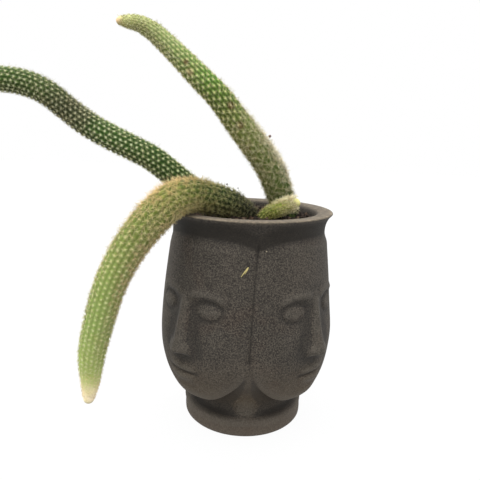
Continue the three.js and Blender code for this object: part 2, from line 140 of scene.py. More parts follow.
def face_relief(s, z):
    """How far a face stands out of its head, at an arc length s from its middle line and a height z."""
    side = np.abs(s)
    down = np.clip((BROW_Z - z) / (BROW_Z - NOSE_BASE_Z), 0, 1)
    nose_foot = smooth_step(z, NOSE_BASE_Z - 1.5, NOSE_BASE_Z + 3)
    nose_ends = nose_foot * (1 - smooth_step(z, BROW_Z - 4, BROW_Z + 8))
    nose = (1.8 + 7.2 * down**1.3) * bell(side, 3.6 + 3.4 * down**2) * nose_ends
    wings = 2.8 * bell(side - 7, 3.4) * bell(z - NOSE_BASE_Z - 5, 4)
    nostrils = -0.8 * bell(side - 4.6, 1.5) * bell(z - NOSE_BASE_Z - 0.6, 1.3)
    socket = -2.6 * bell(side - EYE_WIDTH, 9.5) * bell(z - EYE_Z - 1, 8)
    lid_reach = np.hypot((side - EYE_WIDTH) / (0.46 * EYE_WIDTH), (z - EYE_Z) / 5.4)
    eyelid = 3 * np.sqrt(np.maximum(0, 1 - lid_reach**2))
    lid_line = -0.55 * bell(lid_reach - 0.62, 0.09) * smooth_step(EYE_Z - z, -0.4, 1.2)
    lid_crease = -0.5 * bell(lid_reach - 1.24, 0.1) * smooth_step(z - EYE_Z, 0.5, 3)
    brow_line = BROW_Z + 3 - ((side - 15) / 9) ** 2
    brow = 1.7 * bell(z - brow_line, 3.4) * smooth_step(side, 1, 8) * (1 - smooth_step(side, 26, 36))
    lips = np.maximum(0, 1 - (side / MOUTH_HALF_WIDTH) ** 2)
    upper_lip = 2.4 * lips * bell(z - MOUTH_Z - 3, 2.8)
    lower_lip = 2.8 * lips**1.5 * bell(z - MOUTH_Z + 3.4, 3.2)
    mouth_line = -1.6 * lips**0.5 * bell(z - MOUTH_Z, 1.1)
    philtrum = -0.45 * bell(side, 1.7) * bell(z - (NOSE_BASE_Z + MOUTH_Z) / 2 - 2, 3)
    chin = 2.2 * bell(side, 10) * bell(z - CHIN_Z - THIRD / 3, 8)
    chin -= bell(side, 9) * bell(z - MOUTH_Z + THIRD / 4, 3)
    cheek = 1.1 * bell(side - 25, 10) * bell(z - NOSE_BASE_Z - THIRD / 4, 13)
    eyes = socket + eyelid + lid_line + lid_crease + brow
    mouth = upper_lip + lower_lip + mouth_line + philtrum
    return nose + wings + nostrils + eyes + mouth + chin + cheek


def head_half_width(z):
    """Half the width of a head at a height, in degrees: an egg with its point at the chin."""
    chinward = np.clip((CHIN_SPRING_Z - z) / (CHIN_SPRING_Z - CHIN_Z + 2), 0, 1)
    return (HEAD_HALF_DEGREES - SEAM_HALF_DEGREES) * np.sqrt(1 - chinward**2)


def core_radius(from_seam, z):
    """The round body's radius at heights, and at angles in degrees from the nearest seam."""
    return profile_at(POT_CORE, z) + profile_at(GAP_SWELL, z) * bell(from_seam, GAP_SWELL_DEGREES)


def outside_rings(z):
    """The outside in rows at heights z: angles, radii, degrees from the nearest seam, and the crown line."""
    height = z[:, None]
    half = head_half_width(height)
    under_chin = 1 - smooth_step(height, 6, CHIN_Z + 1)
    spread = np.maximum(half, LEAST_HALF_DEGREES)
    spread = spread + (PLAIN_HALF_DEGREES - spread) * under_chin
    even = np.linspace(-1, 1, HEAD_COLUMNS)
    share = 0.6 * even + 0.4 * np.sin(even * math.pi / 2)
    from_seam = HEAD_HALF_DEGREES - np.abs(share) * spread
    core = core_radius(from_seam, height)
    crown_line = HAIRLINE_Z - CROWN_DROP * share**4
    under_crown = 1 - smooth_step(height, crown_line - CROWN_SHOULDER, crown_line)
    power = 4.5 - smooth_step(height, EYE_Z - 10, HAIRLINE_Z - 15)
    pillow = np.sqrt(np.maximum(0, 1 - np.abs(share) ** power)) * under_crown * (height > CHIN_Z - 2)
    relief = face_relief(share * half * DEGREE * FACE_ARC_RADIUS, height)
    head_radii = core + (np.maximum(0, profile_at(POT_HEAD, height) - core) + relief) * pillow
    gap_share = np.linspace(0, 1, GAP_COLUMNS + 2)[1:-1]
    gap_angles = spread + gap_share * 2 * (HEAD_HALF_DEGREES - spread)
    gap_from_seam = np.abs(HEAD_HALF_DEGREES - gap_angles)
    gap_radii = core_radius(gap_from_seam, height)
    lean = SEAM_LEAN_DEGREES * np.clip((height - CHIN_SPRING_Z) / (HAIRLINE_Z - CHIN_SPRING_Z), 0, 1) ** 2
    angles = []
    for head in range(HEADS):
        middle = FRONT_SEAM_DEGREES - 90 + (2 * head + 1) * HEAD_HALF_DEGREES + lean
        angles += [middle + share * spread, middle + gap_angles]
    from_seam = np.tile(np.hstack([from_seam, gap_from_seam]), HEADS)
    crown_line = np.tile(np.r_[crown_line, HAIRLINE_Z - CROWN_DROP + 0 * gap_share], HEADS)
    seam_depth = 0.4 * smooth_step(height, 60, 70) * (1 - smooth_step(height, 144, 150))
    seam_depth += 0.5 * bell(height - 142, 5)
    radii = np.tile(np.hstack([head_radii, gap_radii]), HEADS) - seam_depth * bell(from_seam, 0.9)
    return np.hstack(angles), radii, from_seam, crown_line


def ring_quads(rows, sides):
    """The faces between rings of points, as the numbers of the points."""
    ring, side = np.meshgrid(np.arange(rows - 1), np.arange(sides), indexing="ij")
    here, beside = ring * sides + side, ring * sides + (side + 1) % sides
    return np.stack([here, beside, beside + sides, here + sides], -1).reshape(-1, 4)


def store(mesh, attributes):
    """Puts named values or colours on every point of a mesh."""
    for label, values in attributes.items():
        flat = np.asarray(values, np.float32).reshape(len(mesh.vertices), -1)
        kind, field = ("FLOAT", "value") if flat.shape[1] == 1 else ("FLOAT_VECTOR", "vector")
        mesh.attributes.new(label, kind, "POINT").data.foreach_set(field, flat.ravel())
    return mesh


def ring_mesh(name, rings, first_pole, last_pole, **attributes):
    """A closed mesh in metres from rings of points in millimetres, counterclockwise seen from the last one.

    Each attribute has a value or a colour for every ring point, and the poles take the first and the last.
    """
    rows, sides = rings.shape[:2]
    points = np.vstack([first_pole, rings.reshape(-1, 3), last_pole]) * MM
    top = 1 + (rows - 1) * sides
    fans = [(0, 1 + (a + 1) % sides, 1 + a) for a in range(sides)]
    fans += [(len(points) - 1, top + a, top + (a + 1) % sides) for a in range(sides)]
    mesh = bpy.data.meshes.new(name)
    mesh.from_pydata(points.tolist(), [], (1 + ring_quads(rows, sides)).tolist() + fans)
    for label, values in attributes.items():
        flat = values.reshape(rows * sides, -1)
        attributes[label] = np.vstack([flat[:1], flat, flat[-1:]])
    mesh.shade_smooth()
    return store(mesh, attributes)


def placed(name, mesh, material=None):
    """An object at the origin that shows a mesh."""
    made = bpy.data.objects.new(name, mesh)
    bpy.context.scene.collection.objects.link(made)
    if material:
        mesh.materials.clear()
        mesh.materials.append(material)
    return made


def around(angles, radii, z):
    """Points at angles in degrees, radii and heights."""
    turned = angles * DEGREE
    return np.stack([radii * np.cos(turned), radii * np.sin(turned), z + np.zeros_like(turned)], -1)


def pot_rings():
    """The pot's rings from under its base over the lip to its floor, with their wear and painted hollow
    shade, and their rub with painted highlight and shade.
    """
    wall_z = np.unique(np.r_[0, 0.4, 0.9, np.arange(1.5, RIM_Z, OUTSIDE_ROW_STEP), RIM_Z])
    angles, radii, from_seam, crown_line = outside_rings(wall_z)
    base_angles, rim_angles = angles[0], angles[-1]
    softened = radii.copy()
    for _ in range(WEAR_ROUNDS):
        softened = (np.roll(softened, 3, 1) + np.roll(softened, -3, 1) + 2 * softened) / 4
        softened[2:-2] = (softened[:-4] + softened[4:] + 2 * softened[2:-2]) / 4
    # Parts proud of the softened wall count as wear and come out lighter; parts below it get painted shade in
    # the hollows.
    wear = np.clip((radii - softened) / WEAR_DEPTH, -1, 1)
    under = [around(base_angles, radius, 0) for radius in POT_UNDER]
    lip = [around(rim_angles, radius, z) for radius, z, _ in POT_LIP]
    inside = [around(rim_angles, radius, z) for radius, z in POT_INSIDE]
    wall = around(angles, radii, wall_z[:, None])
    rings = np.concatenate([np.array(under), wall, np.array(lip + inside)])
    height = wall_z[:, None]
    above_crown = height - crown_line
    # The wall's rub: a dark band under the flared lip, partly dirt and partly painted shade, a dark line of
    # painted shade in the crease where the neck meets the foot, dark seam lines, and wear with a painted
    # highlight just under the rim.
    under_lip_dirt_and_shade = smooth_step(above_crown, -2, 1) * (1 - smooth_step(above_crown, 5, 17))
    seam = 0.6 * bell(from_seam, 0.8) * smooth_step(height, 58, 68) * (1 - smooth_step(height, 147, 152))
    crease_shade = 0.9 * bell(height - 15, 3) * (1 - 0.9 * bell(from_seam, 15))
    wall_rub = 0.3 * smooth_step(height, 160, RIM_Z) - np.maximum(np.maximum(under_lip_dirt_and_shade, seam), crease_shade)
    # The lip's rub is partly wear and partly a painted highlight on its outer edge and top; inside the pot it
    # is painted shade.
    lip_rub = np.array([worn for _, _, worn in POT_LIP] + [-0.5] * len(inside))[:, None] + 0 * angles[:1]
    rub = np.concatenate([0 * angles[: len(under)], wall_rub, lip_rub])
    return rings, np.pad(wear, ((len(under), len(lip + inside)), (0, 0))), rub


class Wire:
    """A socket in a node tree. Arithmetic on it adds Math nodes, and node() adds a node of any kind."""

    def __init__(self, tree, socket=None):
        self.tree = tree
        self.socket = socket

    def node(self, kind, settings=None, inputs=None, output=0):
        """Adds a node with its settings, fills its sockets with values or wires, and gives one output."""
        made = self.tree.nodes.new(kind)
        for name, value in (settings or {}).items():
            setattr(made, name, value)
        for name, value in (inputs or {}).items():
            if isinstance(value, Wire):
                self.tree.links.new(value.socket, made.inputs[name])
            else:
                made.inputs[name].default_value = value
        return Wire(self.tree, made.outputs[output] if made.outputs else None)

    def output(self, name):
        return Wire(self.tree, self.socket.node.outputs[name])

    def math(self, operation, first, second=0.0):
        return self.node("ShaderNodeMath", {"operation": operation}, {0: first, 1: second})

    def vector(self, operation, first, second):
        slot = "Scale" if operation == "SCALE" else 1
        return self.node("ShaderNodeVectorMath", {"operation": operation}, {0: first, slot: second})

    def __add__(self, other):
        return self.math("ADD", self, other)

    def __sub__(self, other):
        return self.math("SUBTRACT", self, other)

    def __rsub__(self, other):
        return self.math("SUBTRACT", other, self)

    def __mul__(self, other):
        return self.math("MULTIPLY", self, other)

    __radd__, __rmul__ = __add__, __mul__

    def between(self, low, high):
        """0 below low and 1 above high, with a soft change between them."""
        settings = {"interpolation_type": "SMOOTHSTEP"}
        return self.node("ShaderNodeMapRange", settings, {"Value": self, "From Min": low, "From Max": high})


def colour(code):
    """The linear colour of a code such as 4a5b3c, as it looks on a screen."""
    shown = [int(code[i : i + 2], 16) / 255 for i in (0, 2, 4)]
    return [c / 12.92 if c <= 0.04045 else ((c + 0.055) / 1.055) ** 2.4 for c in shown] + [1.0]


class Finish(Wire):
    """A material on its way: a node tree with a Principled shader, and the patterns that finishes share."""

    def __init__(self, name, roughness, **constants):
        self.material = bpy.data.materials.new(name)
        self.material.use_nodes = True
        super().__init__(self.material.node_tree)
        self.shader = next(n for n in self.tree.nodes if n.type == "BSDF_PRINCIPLED")
        self.set(Roughness=roughness, **constants)

    def set(self, **values):
        """Puts values or wires on the shader's sockets, named with _ for a space."""
        for name, value in values.items():
            socket = self.shader.inputs[name.replace("_", " ")]
            if isinstance(value, Wire):
                self.tree.links.new(value.socket, socket)
            else:
                socket.default_value = value

    def place(self):
        return self.node("ShaderNodeTexCoord", output="Object")

    def noise(self, size, detail=3.0, roughness=0.55):
        """Noise from 0 to 1 with lumps of a size in millimetres."""
        inputs = {"Vector": self.place(), "Scale": 1 / (size * MM), "Detail": detail, "Roughness": roughness}
        return self.node("ShaderNodeTexNoise", None, inputs)

    def grains(self, size):
        """A pattern of grains of a size in millimetres."""
        inputs = {"Vector": self.place(), "Scale": 1 / (size * MM)}
        return self.node("ShaderNodeTexVoronoi", None, inputs, "Distance")

    def attribute(self, name, output="Fac"):
        return self.node("ShaderNodeAttribute", {"attribute_name": name}, None, output)

    def mix(self, factor, first, second, how="MIX"):
        settings = {"data_type": "RGBA", "blend_type": how}
        return self.node("ShaderNodeMix", settings, {0: factor, 6: first, 7: second}, 2)

    def painted(self, base, coats):
        """A colour under coats of others, each as where it covers and its code."""
        for cover, code in coats:
            base = self.mix(cover, base, colour(code))
        return base

    def stained(self, base, cover, code):
        """A colour that another one darkens where it covers."""
        return self.mix(cover, base, self.mix(1.0, base, colour(code), "MULTIPLY"))

    def bump(self, height, depth, strength=1.0):
        """A normal from a height between 0 and 1, as deep as depth in millimetres."""
        inputs = {"Height": height, "Distance": depth * MM, "Strength": strength}
        return self.node("ShaderNodeBump", None, inputs)


def stoneware_finish():
    finish = Finish("stoneware", roughness=0.8, Specular_IOR_Level=0.33)
    wear, rub = finish.attribute("wear"), finish.attribute("rub")
    height = finish.node("ShaderNodeSeparateXYZ", None, {"Vector": finish.place()}, "Z")
    clouds, warmth, dust = finish.noise(38, 2.0), finish.noise(24, 2.0), finish.noise(7)
    sand, grit, chafed = finish.noise(0.95, 3.0, 0.7), finish.grains(1.6), finish.noise(2.6, 3.0)
    smooth = height.between(14 * MM, 26 * MM) * (1 - height.between(30 * MM, 75 * MM))
    base = finish.painted(colour("302b25"), [
        (clouds.between(0.4, 0.66), "3a342d"),
        (warmth.between(0.52, 0.72) * 0.45, "35281f"),
        (smooth * 0.75, "463b2c"),
        (sand.between(0.46, 0.66) * (0.5 - 0.2 * smooth), "5b554b"),
        ((1 - sand.between(0.36, 0.52)) * (0.85 - 0.45 * smooth), "100c08"),
        ((1 - grit.between(0.1, 0.26)) * dust.between(0.35, 0.6) * 0.5, "6f675b"),
        ((1 - height.between(2 * MM, 22 * MM)) * 0.5, "51463a"),
        # Wear lightens the proud parts, and painted shade darkens the hollows.
        (wear.between(0.15, 1.0) * 0.2, "5a554c"),
        ((0 - wear).between(0.1, 0.9) * 0.45, "12100e"),
        # Painted shade and dirt under the lip, painted shade in the foot's crease and inside the pot, and
        # dark seam lines; on the lip, wear and a painted highlight.
        ((0 - rub).between(0.1, 1.0) * 0.75, "100b04"),
        (rub.between(0.0, 0.6) * (0.35 + 0.45 * chafed.between(0.4, 0.62)), "776b59"),
    ])
    surface = finish.bump(0.7 * sand + 0.3 * finish.noise(0.6, 2.0), 0.6, 0.8)
    finish.set(Base_Color=base, Normal=surface, Roughness=0.72 + 0.18 * sand)
    return finish.material


def settled(piece):
    """A piece with the plain mesh that its modifiers make, and without them."""
    mesh = bpy.data.meshes.new_from_object(piece.evaluated_get(bpy.context.evaluated_depsgraph_get()))
    piece.modifiers.clear()
    piece.data = mesh
    return piece


def drilled(pot):
    """The pot with its drain holes cut through the base."""
    drills = []
    sides = np.arange(DRILL_SIDES) / DRILL_SIDES * 360
    for hole in range(DRAIN_HOLES):
        angle = hole / DRAIN_HOLES * TURN
        middle = np.array([(math.cos(angle) * DRAIN_CIRCLE, math.sin(angle) * DRAIN_CIRCLE, 0)])
        rings = np.array([around(sides, DRAIN_RADIUS, z) for z in DRILL_ENDS]) + middle
        poles = [middle + (0, 0, z) for z in DRILL_ENDS]
        drills.append(placed(f"drill_{hole}", ring_mesh("drill", rings, *poles)))
        cut = pot.modifiers.new(f"drain_{hole}", "BOOLEAN")
        cut.object, cut.operation, cut.solver = drills[-1], "DIFFERENCE", "EXACT"
    settled(pot)
    for drill in drills:
        bpy.data.objects.remove(drill)
    return pot


pot_points, pot_wear, pot_rub = pot_rings()
pot_mesh = ring_mesh("pot_stoneware", pot_points, [0, 0, 0], [0, 0, POT_FLOOR_Z], wear=pot_wear, rub=pot_rub)
pot = drilled(placed("pot_stoneware", pot_mesh, stoneware_finish()))
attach(pot, "root")
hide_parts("pot")

# Soil
# Dark peaty potting mix fills the pot to just under its lip. It was tipped in round the roots and pressed
# down by hand, so its top is lumpy, with loose crumbs and a few bits of bark and grit.

SOIL_LEVEL, SOIL_HIGHEST, SOIL_BOTTOM = 157, 159.5, 9.4
SOIL_RADIUS, SOIL_RINGS, SOIL_SIDES = 49.1, 56, 180
SOIL_WALL = [(29, SOIL_BOTTOM), (31.5, 28), (45.5, 50), (52.3, 64), (53.8, 87), (51.8, 117), (49, 149)]
# The part of the top that crumbs lie on, a little inside the wall.
CAP_RADIUS, CAP_RINGS, CAP_SIDES = 47, 24, 48
# The soil's lumps as waves, each with a height, how fast it runs in x and in y, and where it starts.
LUMPS = [
    (2.1, 0.31, 0.12, 1.3), (1.1, -0.2, 0.55, 0.4), (0.7, 0.83, 0.61, 2.2), (0.5, -1.3, 0.9, 5.1),
    (0.4, 1.1, -1.9, 0.7),
]


def soil_top(x, y):
    """The height of the soil's lumpy top."""
    return SOIL_LEVEL + 0.55 * sum(high * np.sin(a * x + b * y + start) for high, a, b, start in LUMPS)


def soil_rings(radii, sides):
    """Rings of points on the soil's top."""
    turned = np.arange(sides) / sides * 360
    rings = np.array([around(turned, radius, 0) for radius in radii])
    rings[..., 2] = soil_top(rings[..., 0], rings[..., 1])
    return rings


def soil_mesh():
    turned = np.arange(SOIL_SIDES) / SOIL_SIDES * 360
    wall = [around(turned, radius, z) for radius, z in SOIL_WALL]
    top = soil_rings(np.linspace(1, 0.02, SOIL_RINGS) ** 0.8 * SOIL_RADIUS, SOIL_SIDES)
    top[..., 2] = np.minimum(top[..., 2], SOIL_HIGHEST)
    poles = [(0, 0, SOIL_BOTTOM), (0, 0, float(soil_top(0, 0)))]
    return ring_mesh("soil_mix", np.concatenate([wall, top]), *poles)


def soil_finish(name, dark, middling, light):
    finish = Finish(name, roughness=0.95, Specular_IOR_Level=0.15)
    lumps, crumbs = finish.noise(6, 4.0), finish.noise(1.3, 4.0, 0.7)
    coats = [(crumbs.between(0.35, 0.65), middling), (lumps.between(0.5, 0.75) * 0.6, light)]
    base = finish.painted(colour(dark), coats)
    finish.set(Base_Color=base, Normal=finish.bump(0.6 * crumbs + 0.4 * lumps, 1.2))
    return finish.material


def grown(name, ground, tree, material, **inputs):
    """What a Geometry Nodes tree grows on a mesh, as an object with a plain mesh."""
    made = placed(name, ground)
    grow = made.modifiers.new("grow", "NODES")
    grow.node_group = tree
    for label, value in {"Material": material, **inputs}.items():
        wanted = label.replace("_", " ")
        grow[next(item.identifier for item in tree.interface.items_tree if item.name == wanted)] = value
    settled(made).data.name = name
    return made


def new_tree(name, inputs):
    """A Geometry Nodes tree with a geometry going in and out, and named inputs of the given kinds."""
    tree = bpy.data.node_groups.new(name, "GeometryNodeTree")
    tree.interface.new_socket("Geometry", in_out="INPUT", socket_type="NodeSocketGeometry")
    tree.interface.new_socket("Geometry", in_out="OUTPUT", socket_type="NodeSocketGeometry")
    for label, kind in inputs.items():
        tree.interface.new_socket(label, in_out="INPUT", socket_type=f"NodeSocket{kind}")
    return Wire(tree).node("NodeGroupInput")


def planted(source, points, instance, rotation, scale):
    """Ends a tree: a shape stands on every point, as real faces with the material that was asked for."""
    spread = {"Points": points, "Instance": instance, "Rotation": rotation, "Scale": scale}
    copies = source.node("GeometryNodeInstanceOnPoints", None, spread)
    real = source.node("GeometryNodeRealizeInstances", None, {"Geometry": copies})
    dressed = {"Geometry": real, "Material": source.output("Material")}
    source.node("NodeGroupOutput", None, {0: source.node("GeometryNodeSetMaterial", None, dressed)})
    return source.tree


def random_vector(source, low, high, seed):
    inputs = {"Min": low, "Max": high, "Seed": seed}
    return source.node("FunctionNodeRandomValue", {"data_type": "FLOAT_VECTOR"}, inputs)


def crumb_tree():
    """Scatters lumpy crumbs of many sizes over the faces of a mesh."""
    kinds = {"Density": "Float", "Crumb Size": "Float", "Seed": "Int", "Material": "Material"}
    source = new_tree("soil_crumbs", kinds)
    seed = source.output("Seed")
    scatter = {"Mesh": source, "Density": source.output("Density"), "Seed": seed}
    points = source.node("GeometryNodeDistributePointsOnFaces", None, scatter)
    ball = source.node("GeometryNodeMeshIcoSphere", None, {"Radius": 0.55, "Subdivisions": 1})
    place = source.node("GeometryNodeInputPosition")
    dents = source.node("ShaderNodeTexNoise", None, {"Vector": place, "Scale": 2.4}, "Color")
    shift = source.vector("SCALE", source.vector("SUBTRACT", dents, (0.5, 0.5, 0.5)), 0.8)
    lumpy = source.node("GeometryNodeSetPosition", None, {"Geometry": ball, "Offset": shift})
    turn = random_vector(source, (0, 0, 0), (TURN, TURN, TURN), seed)
    stretch = random_vector(source, (0.4, 0.4, 0.3), (1.5, 1.2, 0.9), seed + 1)
    return planted(source, points, lumpy, turn, source.vector("SCALE", stretch, source.output("Crumb Size")))


soil_material = soil_finish("potting_mix", "14100e", "302620", "463a2f")
bark_material = soil_finish("bark", "2b201b", "584638", "80705f")
soil = placed("soil_mix", soil_mesh(), soil_material)
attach(soil, "root")
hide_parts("soil")


def soil_cap():
    points = soil_rings(np.linspace(CAP_RADIUS, 1, CAP_RINGS), CAP_SIDES) * MM
    mesh = bpy.data.meshes.new("soil_cap")
    mesh.from_pydata(points.reshape(-1, 3).tolist(), [], ring_quads(CAP_RINGS, CAP_SIDES).tolist())
    return mesh


scatter = crumb_tree()
crumbs = grown(
    "soil_crumbs", soil_cap(), scatter, soil_material, Density=1.2e5, Crumb_Size=2.4 * MM, Seed=5,
)
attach(crumbs, "root")
bark = grown("soil_bark", soil_cap(), scatter, bark_material, Density=1.6e4, Crumb_Size=4 * MM, Seed=9)
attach(bark, "root")

# Stems
# Each stem is one grown, ribbed shoot. Its ribs are notched into low warts, and each wart carries an areole.
# The skin is fresh green towards the tip, dark lower down, and corky tan or grey where it has aged. Painted
# shade darkens its furrows, its underside and the trailing stem's foot.

RIBS, SHOOT_RIBS = 17, 12
SKIN_COLUMNS_PER_RIB, ROWS_PER_WART, WART_STAGGER = 6, 5, 10
WART_HEIGHTS = {"stem_upright": 1.1, "stem_left": 1.0, "stem_trailing": 0.8, "shoot_young": 0.7}
# The radius at which warts and wool have their full size, and the shape of the rounded tip.
FULL_RADIUS = 9.5
DOME_ROWS, DOME_DEGREES, DOME_STRETCH = 9, 84, 1.12
# Each route runs from the foot in the soil to the tip, as x, y, z and radius.
STEM_ROUTES = {
    "stem_upright": [
        (32, 8, 133, 5), (31, 8, 145, 8.4), (27.5, 7, 158, 9), (21, 4, 177, 9.4), (13, 3, 194, 9.6),
        (1, 2, 210, 9.4), (-12, 1, 226, 9.1), (-25, 0, 242, 8.6), (-41, 0, 257, 8),
        (-56, 0, 271, 7), (-70, -2, 283, 6.2), (-79, -5, 288, 5.3), (-86, -8, 289, 4.5),
        (-92, -10, 289, 3.1),
    ],
    "stem_left": [
        (-5, 19, 132, 5), (-7, 18, 144, 8), (-13, 17, 154, 8.8), (-26, 15, 162.5, 9.1),
        (-47, 14, 174.5, 9.2), (-74, 15, 194.5, 9.3), (-90, 16, 202.5, 9.1),
        (-108, 18, 210.5, 9.3), (-127, 20, 220, 9.2), (-143, 22, 231, 9.1),
        (-158, 23, 242, 9.2), (-174, 24, 249, 9.3), (-194, 24, 252, 9), (-214, 23, 249, 8.6),
        (-231, 22, 240, 8), (-243, 20, 227, 7), (-250, 18, 212, 5.6), (-253, 17, 201, 4),
    ],
    "stem_trailing": [
        (8, 0, 133, 5), (5, -2, 145, 7.8), (-1, -5.5, 155, 8.8), (-9, -12, 163, 9.8),
        (-18, -20, 168.5, 10.2), (-29, -29.5, 172.5, 10.4), (-38, -37, 174.8, 10.5),
        (-47.5, -43.5, 173.7, 10.8), (-56.5, -48, 167.4, 11.1), (-66, -51.5, 157, 11.1),
        (-76, -54.5, 143.5, 10.7), (-84, -56, 129.5, 10.3), (-91, -57, 113.5, 10),
        (-98, -57, 90.5, 9.6), (-104, -56, 66.5, 8.7), (-106.5, -54, 44, 6.4), (-108.3, -53, 31.2, 4),
    ],
    "shoot_young": [
        (6, -15.5, 146, 3.4), (9, -16.5, 155, 4.4), (13.5, -17, 161, 4.8), (20, -18, 164.5, 5),
        (27, -18.5, 167.5, 4.6), (32, -19, 169.5, 3.6),
    ],
}
# How far apart the areoles of a rib stand, as the share of the way to the tip and a distance.
WART_PITCHES = {
    "stem_upright": [(0.0, 5.4), (0.3, 5.8), (0.6, 5.6), (0.85, 4.2), (1.0, 2.6)],
    "stem_left": [(0.0, 4.6), (0.85, 4.4), (1.0, 2.6)],
    "stem_trailing": [(0.0, 4.4), (0.45, 4.5), (0.65, 3.8), (0.9, 3.4), (1.0, 2.4)],
    "shoot_young": [(0.0, 2.6), (1.0, 2.1)],
}
# The skin's colour along each stem, as the share of the way to the tip and a colour, and the colour of its
# downward side, partly its own tan and partly painted shade.
SKIN_COLOURS_AND_SHADE = {
    "stem_upright": [
        (0.0, "283a0e"), (0.2, "374a16"), (0.32, "4c5a28"), (0.42, "6d773e"), (0.52, "71823f"),
        (0.64, "7a9d46"), (0.8, "99ad6d"), (0.92, "a8af76"), (0.98, "adb076"), (1.0, "dcb894"),
    ],
    "stem_left": [
        (0.0, "26300f"), (0.25, "3a5a1d"), (0.44, "426824"), (0.54, "434a2a"), (0.62, "4a5f2b"),
        (0.7, "456624"), (0.85, "5d8236"), (1.0, "a3ab60"),
    ],
    # The trailing stem's first stretch is near black: painted shade behind the pot's rim.
    "stem_trailing": [
        (0.0, "121409"), (0.1, "161a0c"), (0.17, "262d13"), (0.24, "32461a"), (0.3, "4c5a22"),
        (0.36, "707c36"), (0.46, "76843e"), (0.58, "82914e"), (0.75, "869a54"), (0.88, "9cac62"),
        (0.92, "b6bc7c"), (0.955, "e6d8b0"), (1.0, "faead0"),
    ],
    "shoot_young": [(0.0, "5a4526"), (0.25, "64702a"), (0.5, "6f8030"), (0.75, "86963c"), (1.0, "c6c084")],
}
UNDERSIDE_TONES_AND_SHADE = {
    "stem_upright": "6f6a3c", "stem_left": "3c3c22", "stem_trailing": "7c7050", "shoot_young": "6a6a28",
}
# The last part of a stem is smooth, without warts, from this share of the way on.
PLAIN_TIP = {"stem_upright": 1.0, "stem_left": 0.97, "stem_trailing": 0.93, "shoot_young": 0.9}
# How dark the painted shade in the furrows between the warts is, as the share of the way to the tip and a
# strength.
FURROW_SHADE_STRENGTHS = {
    "stem_upright": [(0.1, 0.9), (0.25, 0.4), (0.45, 0.6), (0.6, 1.0), (0.9, 0.6)],
    "stem_left": [(0.0, 0.9)],
    "stem_trailing": [(0.2, 1.0), (0.36, 0.7), (0.6, 0.55), (0.9, 0.4)],
    "shoot_young": [(0.3, 1.0), (0.9, 0.4)],
}
# Marks on the skin, and one painted shadow, as the stem, a point on it, the mark's radius, its colour and how
# strong it is.
SKIN_MARKS_AND_SHADOW = [
    ("stem_upright", (-29.6, -7.1, 256.7), 9, "6fa03e", 0.6),
    ("stem_upright", (-47.9, -7.5, 264.1), 3, "7b5a3a", 0.85),
    ("stem_upright", (-45.1, -7, 257.6), 4.2, "c3ab83", 0.8),
    ("stem_upright", (-15.7, -8.1, 236.1), 4.2, "6e4e34", 0.9),
    ("stem_upright", (-8.9, -7.9, 222.6), 4.4, "6b5138", 0.8),
    ("stem_upright", (-2.6, -5.4, 207.3), 3, "70543a", 0.6),
    ("stem_left", (-132, 13, 228), 17, "3a3a26", 0.6),
    ("stem_left", (-150, 14, 233), 12, "34381f", 0.5),
    # A painted shadow: near black at the trailing stem's foot, behind the rim.
    ("stem_trailing", (2, -12, 164), 10, "0e0f0a", 0.85),
    ("stem_trailing", (-56, -52, 178), 15, "8c8448", 0.4),
]


def smooth_line(route):
    """Many points on a smooth line through a route, and how far along it each one is."""
    knots = np.array(route, float)
    knots = np.vstack([2 * knots[0] - knots[1], knots, 2 * knots[-1] - knots[-2]])
    t = np.linspace(0, 1, 60, endpoint=False)[:, None]
    pieces = []
    for before, start, end, after in zip(knots, knots[1:], knots[2:], knots[3:]):
        leave, arrive = (end - before) / 2, (after - start) / 2
        pieces.append(
            (2 * t**3 - 3 * t**2 + 1) * start + (t**3 - 2 * t**2 + t) * leave
            + (3 * t**2 - 2 * t**3) * end + (t**3 - t**2) * arrive
        )
    line = np.vstack(pieces + [knots[-2]])
    return line, np.r_[0, np.cumsum(np.linalg.norm(np.diff(line[:, :3], axis=0), axis=1))]


def stem_rows(name):
    """The rows of a stem's skin: x, y, z and radius, how far along, and how many warts up."""
    line, lengths = smooth_line(STEM_ROUTES[name])
    pitch = np.interp(lengths / lengths[-1], *zip(*WART_PITCHES[name]))
    warts = np.r_[0, np.cumsum(np.diff(lengths) / pitch[1:])]
    count = np.linspace(0, warts[-1], round(warts[-1] * ROWS_PER_WART) + 1)
    along = np.interp(count, warts, lengths)
    return np.stack([np.interp(along, lengths, column) for column in line.T], -1), along, count


def unit(vectors):
    return vectors / np.linalg.norm(vectors, axis=-1, keepdims=True)


def directions_along(middle, turned):
    """A line's direction at each of its points, and the directions out of it at angles, without a twist."""
    tangents = unit(np.gradient(middle, axis=0))
    least = np.eye(3)[np.argmin(np.abs(tangents[0]))]
    normal = np.cross(tangents[0], unit(np.cross(tangents[0], least)))
    normals = []
    for tangent in tangents:
        normal = unit(normal - (normal @ tangent) * tangent)
        normals.append(normal)
    across = np.cross(tangents, normals)
    cosines, sines = np.cos(turned)[:, None], np.sin(turned)[:, None]
    return tangents, np.array(normals)[:, None] * cosines + across[:, None] * sines


def linear(code):
    """The linear red, green and blue of a code."""
    return np.array(colour(code)[:3])


def colours_at(share, stops):
    """The linear colours at shares of the way along a table of shares and codes."""
    table = np.array([linear(code) for _, code in stops])
    return np.stack([np.interp(share, [stop for stop, _ in stops], channel) for channel in table.T], -1)


def out_of_soil(middle):
    """1 where a place on a stem is out of the soil, or beside the pot, and 0 where it is in the soil."""
    beside = np.hypot(middle[..., 0], middle[..., 1]) > MOUTH_RADIUS
    return np.where(beside, 1.0, smooth_step(middle[..., 2], SOIL_LEVEL - 4, SOIL_LEVEL + 6))


